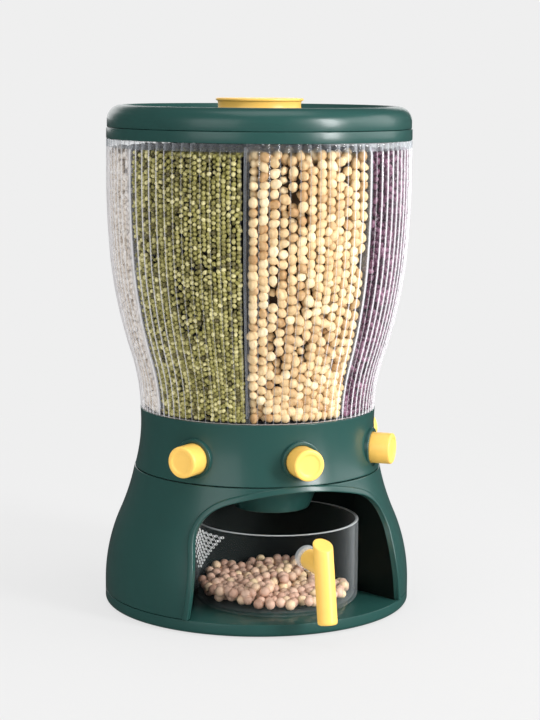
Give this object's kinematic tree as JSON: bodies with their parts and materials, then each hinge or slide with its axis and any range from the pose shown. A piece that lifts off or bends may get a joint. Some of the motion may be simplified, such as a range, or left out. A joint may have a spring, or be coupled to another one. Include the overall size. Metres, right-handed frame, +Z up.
{
  "type": "grain dispenser",
  "caption": "Countertop dry grain dispenser: a clear turning hopper of six compartments with push-button gates over an arched base with a chute and a pull-out cup.",
  "frame": {"origin": "centre of the base on the surface that it stands on, below the axis of the carousel", "axes": "+Z up along the axis of the carousel, -Y to the front with the arch, the cup and its handle, +X to the right seen from the front"},
  "size_m": [0.22, 0.2522, 0.362],
  "materials": {
    "green_plastic": "semi-gloss moulded dark green",
    "pale_plastic": "satin moulded off-white",
    "bearing_plastic": "waxy natural acetal",
    "clear_hopper": "clear reeded plastic",
    "clear_divider": "clear plastic",
    "clear_cup": "clear moulded plastic",
    "yellow_plastic": "semi-gloss moulded yellow",
    "rubber": "matte",
    "silicone": "translucent silicone",
    "steel": "zinc plated"
  },
  "bodies": {
    "base": {"base_plate": "green_plastic", "rubber_feet": "rubber", "base_shell": "green_plastic", "bay_wall": "green_plastic", "deck": "green_plastic", "base_screws": "steel", "glide_ring": "bearing_plastic", "chute": "green_plastic", "chute_screws": "steel", "spindle_washer": "steel", "spindle_screw": "steel"},
    "carousel": {"port_plate": "pale_plastic", "hub_bushing": "bearing_plastic", "hopper_floor": "pale_plastic", "floor_screws": "steel", "button_band": "green_plastic", "band_screws": "steel", "hopper_shell": "clear_hopper", "divider_star": "clear_divider", "top_collar": "green_plastic", "return_spring_1": "steel", "return_spring_2": "steel", "return_spring_3": "steel", "return_spring_4": "steel", "return_spring_5": "steel", "return_spring_6": "steel"},
    "button_1": {"button_cap_1": "yellow_plastic", "gate_slide_1": "pale_plastic"},
    "button_2": {"button_cap_2": "yellow_plastic", "gate_slide_2": "pale_plastic"},
    "button_3": {"button_cap_3": "yellow_plastic", "gate_slide_3": "pale_plastic"},
    "button_4": {"button_cap_4": "yellow_plastic", "gate_slide_4": "pale_plastic"},
    "button_5": {"button_cap_5": "yellow_plastic", "gate_slide_5": "pale_plastic"},
    "button_6": {"button_cap_6": "yellow_plastic", "gate_slide_6": "pale_plastic"},
    "lid": {"lid_cover": "green_plastic", "lid_liner": "green_plastic", "lid_seal": "silicone", "lid_knob": "yellow_plastic", "knob_screw": "steel"},
    "cup": {"cup_body": "clear_cup", "cup_handle": "yellow_plastic", "handle_screw": "steel"}
  },
  "joints": [
    {"name": "carousel_turn", "type": "hinge", "parent": "base", "child": "carousel", "pos_m": [0, 0, 0.1], "axis": [0, 0, 1], "continuous": true},
    {"name": "button_1_press", "type": "slide", "parent": "carousel", "child": "button_1", "axis": [0.7818, 0.6235, 0], "range_m": [0, 0.016], "stiffness_N_per_m": 250, "springref_m": -0.006, "deforming": ["return_spring_1"]},
    {"name": "button_2_press", "type": "slide", "parent": "carousel", "child": "button_2", "axis": [0, 1, 0], "range_m": [0, 0.016], "stiffness_N_per_m": 250, "springref_m": -0.006, "deforming": ["return_spring_2"]},
    {"name": "button_3_press", "type": "slide", "parent": "carousel", "child": "button_3", "axis": [-0.7818, 0.6235, 0], "range_m": [0, 0.016], "stiffness_N_per_m": 250, "springref_m": -0.006, "deforming": ["return_spring_3"]},
    {"name": "button_4_press", "type": "slide", "parent": "carousel", "child": "button_4", "axis": [-0.9749, -0.2225, 0], "range_m": [0, 0.016], "stiffness_N_per_m": 250, "springref_m": -0.006, "deforming": ["return_spring_4"]},
    {"name": "button_5_press", "type": "slide", "parent": "carousel", "child": "button_5", "axis": [-0.4339, -0.901, 0], "range_m": [0, 0.016], "stiffness_N_per_m": 250, "springref_m": -0.006, "deforming": ["return_spring_5"]},
    {"name": "button_6_press", "type": "slide", "parent": "carousel", "child": "button_6", "axis": [0.4339, -0.901, 0], "range_m": [0, 0.016], "stiffness_N_per_m": 250, "springref_m": -0.006, "deforming": ["return_spring_6"]},
    {"name": "lid_lift", "type": "slide", "parent": "carousel", "child": "lid", "axis": [0, 0, 1], "range_m": [0, 0.08]},
    {"name": "cup_pull", "type": "slide", "parent": "base", "child": "cup", "axis": [0, -1, 0], "range_m": [0, 0.13]}
  ]
}
